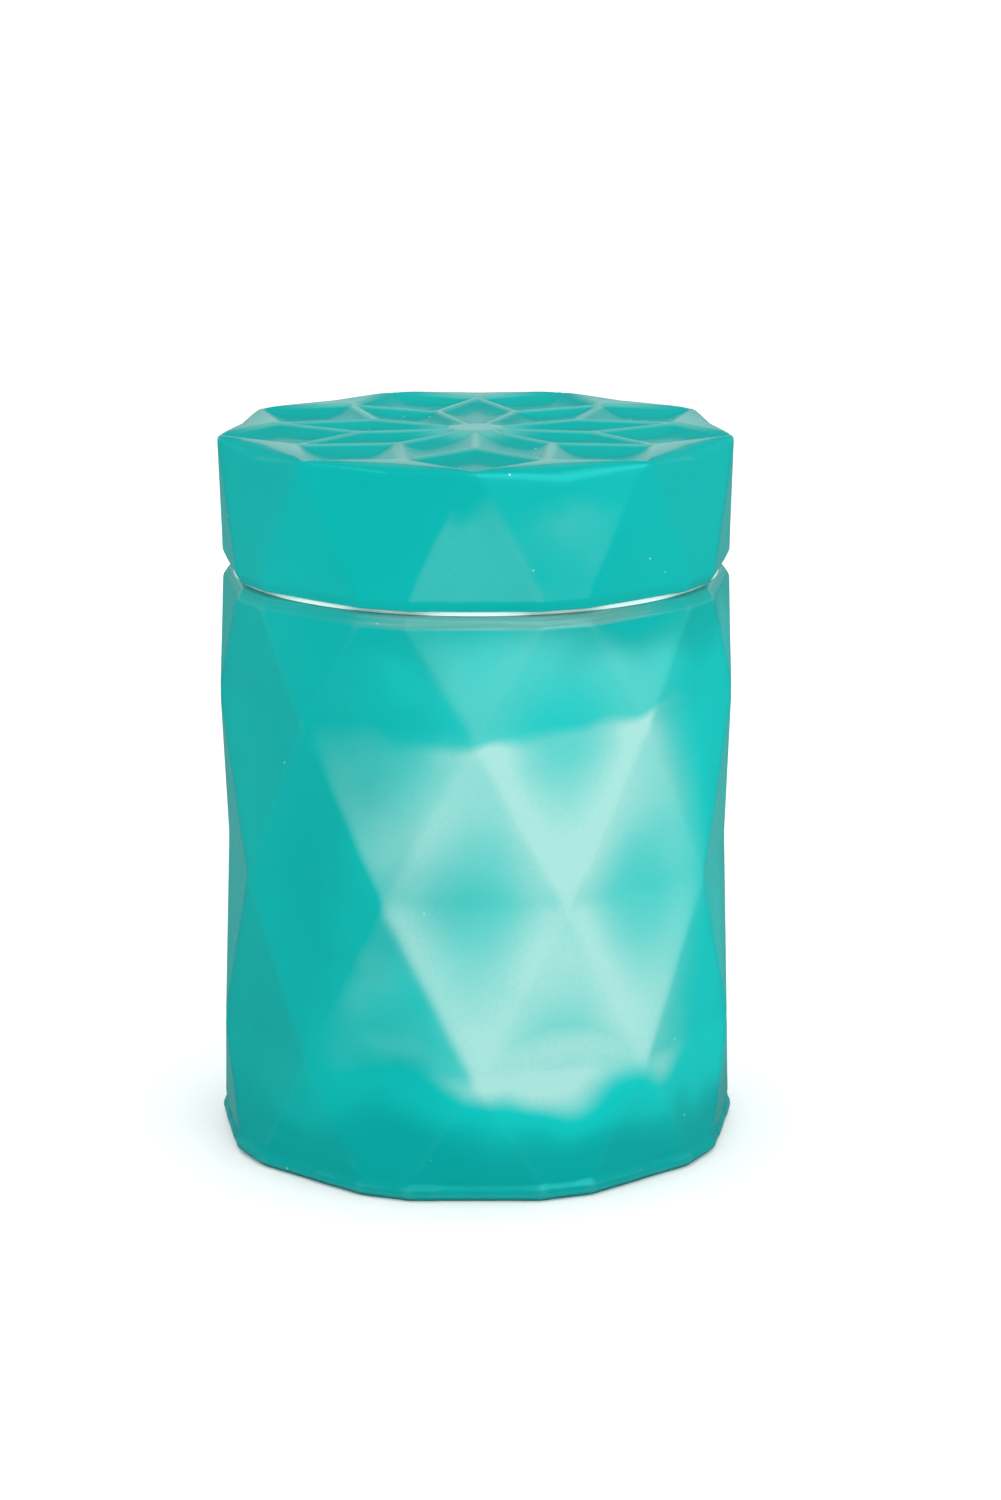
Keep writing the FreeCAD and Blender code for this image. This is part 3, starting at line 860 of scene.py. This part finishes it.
def lid_glass_material():
    """Teal glass with a faint painted sheen low on the front of the wall, and painted highlights on the
    star's ridges and summit.
    """
    material, tree, shader, place, colour = glass_material("lid_glass", LID_TRANSMISSION)
    level = height_of(tree, place)
    out = distance_from_axis(tree, place)

    height = wandering(tree, place, level, *PATCH_WANDER)
    patch = band(tree, height, PATCH_FROM, PATCH_TO, *PATCH_SOFT_ENDS)
    side = wandering(tree, place, turned_to(tree, PATCH_AZIMUTH, 0.0), *PATCH_SIDE_WANDER)
    patch = combined(tree, "MULTIPLY", patch, spread(tree, side, PATCH_COSINES, (0.0, PATCH_STRENGTH)))

    ridges = spread_over(tree, level, RIDGE_HEIGHTS, (0.0, RIDGE_HIGHLIGHT))
    ridges = combined(tree, "MULTIPLY", ridges, spread_over(tree, out, RIDGE_FADE_RADII, (1.0, 0.0)))
    summit = spread_over(tree, out, SUMMIT_FADE_RADII, (SUMMIT_HIGHLIGHT, 0.0))
    summit = combined(tree, "MULTIPLY", summit, spread_over(tree, level, SUMMIT_HEIGHTS, (0.0, 1.0)))

    # the painted sheen and highlights, then the seeds
    milky = combined(tree, "MAXIMUM", patch, combined(tree, "MAXIMUM", ridges, summit))
    milky = combined(tree, "MAXIMUM", grainy(tree, place, milky), seeds(tree, place))
    tree.links.new(mixed_colour(tree, milky, colour, PAINTED_SHEEN_AND_SEED_PALE), shader.inputs["Base Color"])
    return material


def teal_with_painted_glow(tree, place, height, colour):
    """The glass's colour with a painted glow on one side, where light comes through it, and deeper in the
    solid floor.
    """
    bright = band(tree, height, BRIGHT_FROM, BRIGHT_TO, *BRIGHT_SOFT_ENDS)
    side = wandering(tree, place, facing(tree, place, BRIGHT_AZIMUTH), *BRIGHT_WANDER)
    bright = combined(tree, "MULTIPLY", bright, spread(tree, side, BRIGHT_COSINES, (0.0, 1.0)))
    colour = mixed_colour(tree, bright, colour, TEAL_PAINTED_GLOW)
    solid = spread_over(tree, height, SOLID_HEIGHTS, (1.0, 0.0))
    return mixed_colour(tree, solid, colour, TEAL_FLOOR)


def painted_wax_glow(tree, place, height):
    """Painted glow of the lit wax seen through the jar, with painted sheen: most on the lit side between
    its floor and the top of the fill, on the facets that lean back towards the light, and least in the
    creases, where the glass is thin."""
    turned_away = combined(tree, "SUBTRACT", facing(tree, place, WAX_GLOW_AZIMUTH), 1.0)
    foot = combined(tree, "ADD", height, combined(tree, "MULTIPLY", turned_away, FOOT_RISE * MM))
    waxed = spread_over(tree, foot, FOOT_HEIGHTS, (0.0, 1.0))
    sideways = combined(tree, "MULTIPLY", facing(tree, place, 90.0), FILL_RISE * MM)
    fill = combined(tree, "SUBTRACT", height, sideways)
    waxed = combined(tree, "MULTIPLY", waxed, spread_over(tree, fill, FILL_HEIGHTS, (1.0, 0.0)))
    above_fill = band(tree, height, WAX_TOP_Z, ABOVE_FILL_TO, *ABOVE_FILL_SOFT_ENDS)
    above_fill = combined(tree, "MULTIPLY", above_fill, ABOVE_FILL_STRENGTH)
    wax_glow = combined(tree, "ADD", waxed, above_fill)

    side = wandering(tree, place, turned_to(tree, WAX_GLOW_AZIMUTH, WAX_GLOW_ELEVATION), *WAX_GLOW_WANDER)
    wax_glow = combined(tree, "MULTIPLY", wax_glow, spread(tree, side, WAX_GLOW_COSINES, (0.0, WAX_GLOW_STRENGTH)))
    near = spread(tree, facing(tree, place, WAX_GLOW_MIDDLE), WAX_GLOW_MIDDLE_COSINES, (0.0, 1.0))
    wax_glow = combined(tree, "MULTIPLY", wax_glow, near)

    thickness = spread_over(tree, distance_from_axis(tree, place), CREASE_RADII, (CREASE_STRENGTH, 1.0))
    low = spread_over(tree, height_of(tree, place), LOW_HEIGHTS, (1.0, 0.0))
    thickness = combined(tree, "MAXIMUM", thickness, low)
    return combined(tree, "MULTIPLY", wax_glow, thickness)


def jar_glass_material():
    """Teal glass with a painted glow of the lit wax behind it, painted highlights on its folds, a few
    seeds, and a painted reflection on the rim drawn with level lines.
    """
    material, tree, shader, place, colour = glass_material("jar_glass", JAR_TRANSMISSION)
    height = wandering(tree, place, height_of(tree, place), *JAR_WANDER, 1.0)
    colour = teal_with_painted_glow(tree, place, height, colour)

    # painted glow and sheen of the lit wax, painted fold highlights, then the seeds
    milky = grainy(tree, place, painted_wax_glow(tree, place, height))
    milky = combined(tree, "ADD", milky, fold_highlight(tree))
    milky = combined(tree, "MAXIMUM", milky, seeds(tree, place))
    colour = mixed_colour(tree, milky, colour, PAINTED_SHEEN_AND_SEED_PALE)

    # painted reflection on the rim's bevel, with painted reflection lines
    rim = spread_over(tree, height_of(tree, place), RIM_HEIGHTS, (0.0, 1.0))
    front = spread(tree, facing(tree, place, RIM_AZIMUTH), RIM_COSINES, RIM_STRENGTH)
    rim = combined(tree, "MULTIPLY", rim, front)
    lines = noise(tree, *RIM_NOISE, stretched(tree, place, RIM_LINE_STRETCH))
    lines = spread(tree, lines, RIM_LINE_CUT, (0.0, RIM_LINE_STRENGTH))
    reflection_grey = mixed_colour(tree, lines, RIM_REFLECTION_GREY, RIM_REFLECTION_PALE)
    tree.links.new(mixed_colour(tree, rim, colour, reflection_grey), shader.inputs["Base Color"])
    return material


def wax_material():
    """Candle wax, a little see-through and mottled."""
    material, tree, shader = new_material("candle_wax", {
        "Subsurface Weight": 0.6,
        "Subsurface Radius": (0.006, 0.005, 0.004),
        "Subsurface Scale": 1.0,
        "IOR": 1.43,
    })
    place = place_texture(tree)
    mottle = spread(tree, noise(tree, 60.0, 3.0, place), (0.2, 0.8), (0.0, 1.0))
    tree.links.new(mixed_colour(tree, mottle, (0.92, 0.89, 0.82), (0.95, 0.93, 0.88)),
                   shader.inputs["Base Color"])
    rough = spread(tree, noise(tree, 200.0, 3.0, place), (0.3, 0.7), (0.38, 0.55))
    tree.links.new(rough, shader.inputs["Roughness"])
    add_bump(tree, shader, noise(tree, 250.0, 3.0, place), 0.15, 0.0004)
    return material


def silicone_material():
    """Clear silicone, gone slightly milky."""
    material, tree, shader = new_material("clear_silicone", {
        "Transmission Weight": 0.12,
        "IOR": 1.41,
    })
    place = place_texture(tree)
    cloud = noise(tree, 150.0, 3.0, place)
    tree.links.new(mixed_colour(tree, cloud, (0.60, 0.86, 0.83), (0.70, 0.90, 0.87)),
                   shader.inputs["Base Color"])
    tree.links.new(spread(tree, cloud, (0.3, 0.7), (0.3, 0.42)), shader.inputs["Roughness"])
    add_bump(tree, shader, noise(tree, 900.0, 2.0, place), 0.1, 0.0002)
    return material


def cotton_material():
    """Waxed cotton with a fine fibre."""
    material, tree, shader = new_material("cotton_wick", {"Sheen Weight": 0.3, "Sheen Roughness": 0.5})
    place = place_texture(tree)
    fibre = noise(tree, 1500.0, 5.0, place, 0.7)
    tree.links.new(mixed_colour(tree, fibre, (0.72, 0.68, 0.58), (0.93, 0.90, 0.82)),
                   shader.inputs["Base Color"])
    tree.links.new(spread(tree, fibre, (0.3, 0.7), (0.6, 0.85)), shader.inputs["Roughness"])
    add_bump(tree, shader, fibre, 0.6, 0.0002)
    return material


def steel_material():
    """Bright steel with the grain of the sheet."""
    material, tree, shader = new_material("tab_steel", {"Metallic": 1.0})
    place = place_texture(tree)
    grain = noise(tree, 700.0, 4.0, place, 0.6)
    tree.links.new(mixed_colour(tree, grain, (0.50, 0.50, 0.50), (0.66, 0.65, 0.63)),
                   shader.inputs["Base Color"])
    tree.links.new(spread(tree, grain, (0.3, 0.7), (0.24, 0.42)), shader.inputs["Roughness"])
    add_bump(tree, shader, grain, 0.15, 0.0001)
    return material


def foam_material():
    """Closed-cell foam."""
    material, tree, shader = new_material("foam_sticker", {"Roughness": 0.9})
    place = place_texture(tree)
    cells = tree.nodes.new("ShaderNodeTexVoronoi")
    cells.inputs["Scale"].default_value = 2500.0
    tree.links.new(place, cells.inputs["Vector"])
    tree.links.new(mixed_colour(tree, cells.outputs["Distance"], (0.62, 0.62, 0.60), (0.88, 0.88, 0.86)),
                   shader.inputs["Base Color"])
    add_bump(tree, shader, cells.outputs["Distance"], 0.5, 0.0002)
    return material


def paper_material():
    """Matt paper with a fine fibre."""
    material, tree, shader = new_material("label_paper", {"Roughness": 0.8})
    place = place_texture(tree)
    fibre = noise(tree, 900.0, 6.0, place, 0.75)
    tree.links.new(mixed_colour(tree, fibre, (0.78, 0.77, 0.73), (0.92, 0.91, 0.88)),
                   shader.inputs["Base Color"])
    add_bump(tree, shader, fibre, 0.3, 0.0001)
    return material


def floor_material():
    """Pale, even and dull."""
    material, tree, shader = new_material("studio_floor", {"Roughness": 0.7, "Specular IOR Level": 0.2})
    place = place_texture(tree)
    cloud = noise(tree, 3.0, 2.0, place)
    tree.links.new(mixed_colour(tree, cloud, (0.94, 0.94, 0.94), (0.96, 0.96, 0.96)),
                   shader.inputs["Base Color"])
    return material


# ---- the object --------------------------------------------------------------------------
def finish_piece(piece, body, node, material):
    piece.data.materials.append(material)
    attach(piece, body)
    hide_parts(node)


finish_piece(make_jar(), "jar", "jar", jar_glass_material())
finish_piece(make_lid(), "lid", "lid", lid_glass_material())
finish_piece(make_seal(), "seal", "lid_seal", silicone_material())
finish_piece(make_wax(), "jar", "wax_fill", wax_material())
finish_piece(make_label(), "jar", "base_label", paper_material())
cotton = cotton_material()
steel = steel_material()
foam = foam_material()
for number in range(1, WICK_COUNT + 1):
    finish_piece(make_wick(number), "jar", f"wick_{number}", cotton)
    finish_piece(make_wick_tab(number), "jar", f"wick_tab_{number}", steel)
    finish_piece(make_sticker(number), "jar", f"tab_sticker_{number}", foam)


# ---- studio, in metres -------------------------------------------------------------------
FLOOR_HALF = 2.0
WORLD_STRENGTH = (1.40, 0.05)               # straight on, and in reflections
SHEEN_DISTANCE = 0.6
SHEEN_AIM = (0.0, 0.0, 0.05)
GLOW_COLOUR = (0.40, 1.0, 0.97)             # light thrown up through the glass, so tinted like it
CAMERA_PLACE = (0.0048, -0.7545, 0.2617)
CAMERA_DIP = 13.79                          # degrees below level
CAMERA_LENS = 94.0                          # millimetres, on a sensor 36 wide
CAMERA_SENSOR = 36.0


def make_floor():
    """Plain square sheet that the jar stands on."""
    half = FLOOR_HALF
    mesh = bpy.data.meshes.new("studio_floor")
    corners = [(-half, -half, 0), (half, -half, 0), (half, half, 0), (-half, half, 0)]
    mesh.from_pydata(corners, [], [(0, 1, 2, 3)])
    floor = bpy.data.objects.new("studio_floor", mesh)
    floor.location.z = cad_box[0].z
    bpy.context.scene.collection.objects.link(floor)
    mesh.materials.append(floor_material())
    floor.visible_glossy = False


def softbox(name, place, aim, width, height, power):
    """Rectangular area light at a place, facing a point."""
    light = bpy.data.lights.new(name, "AREA")
    light.shape = "RECTANGLE"
    light.size = width
    light.size_y = height
    light.energy = power
    lamp = bpy.data.objects.new(name, light)
    lamp.location = place
    lamp.rotation_euler = (Vector(aim) - Vector(place)).to_track_quat("-Z", "Y").to_euler()
    lamp.visible_camera = False
    bpy.context.scene.collection.objects.link(lamp)
    return lamp


def gloss_only(lamp):
    """Keeps a light for reflections, so that it adds sheen and no colour."""
    lamp.visible_diffuse = False
    lamp.visible_transmission = False


def sheen_box(name, azimuth, elevation, width, height, radiance):
    """Softbox seen only in the glass, round the jar at an azimuth and an elevation in degrees."""
    place = Vector(SHEEN_AIM) + SHEEN_DISTANCE * Vector(direction(azimuth, elevation))
    power = radiance * math.pi * width * height
    gloss_only(softbox(name, place, SHEEN_AIM, width, height, power))


def make_world():
    """White all round, and dimmer in the glass so that its colour isn't washed out."""
    world = bpy.data.worlds.new("studio_white")
    world.use_nodes = True
    tree = world.node_tree
    background = tree.nodes["Background"]
    background.inputs["Color"].default_value = (1.0, 1.0, 1.0, 1.0)
    ray = tree.nodes.new("ShaderNodeLightPath")
    strength = spread(tree, ray.outputs["Is Glossy Ray"], (0.0, 1.0), WORLD_STRENGTH)
    tree.links.new(strength, background.inputs["Strength"])
    bpy.context.scene.world = world


def make_camera():
    """Long lens, a little above the lid, straight at the front corner."""
    data = bpy.data.cameras.new("camera")
    data.lens = CAMERA_LENS
    data.sensor_width = CAMERA_SENSOR
    camera = bpy.data.objects.new("camera", data)
    camera.location = CAMERA_PLACE
    camera.rotation_euler = (math.radians(90 - CAMERA_DIP), 0, 0)
    bpy.context.scene.collection.objects.link(camera)
    bpy.context.scene.camera = camera


make_floor()
make_world()
make_camera()
# azimuth, elevation, width, height, radiance
sheen_box("sheen_front", 0, 28, 0.60, 0.33, 1.5)
sheen_box("sheen_right", 42, 28, 0.50, 0.33, 3.5)
# place, aim, width, height, power
table_glow = softbox("table_glow", (0.0, 0.9, -0.17), (0.0, 0.0, 0.06), 1.0, 0.45, 0.35)
table_glow.data.color = GLOW_COLOUR
gloss_only(table_glow)
gloss_only(softbox("behind", (0.0, 1.0, 0.29), (0.0, 0.0, 0.14), 3.0, 0.30, 1.4))
gloss_only(softbox("front_top", (0.0, -0.55, 0.95), (0.0, 0.0, 0.11), 1.2, 0.30, 3.5))
softbox("key", (0.6, -0.7, 0.45), (0.0, 0.0, 0.06), 0.5, 0.5, 1.2).visible_glossy = False
bpy.context.scene.view_settings.view_transform = "Standard"
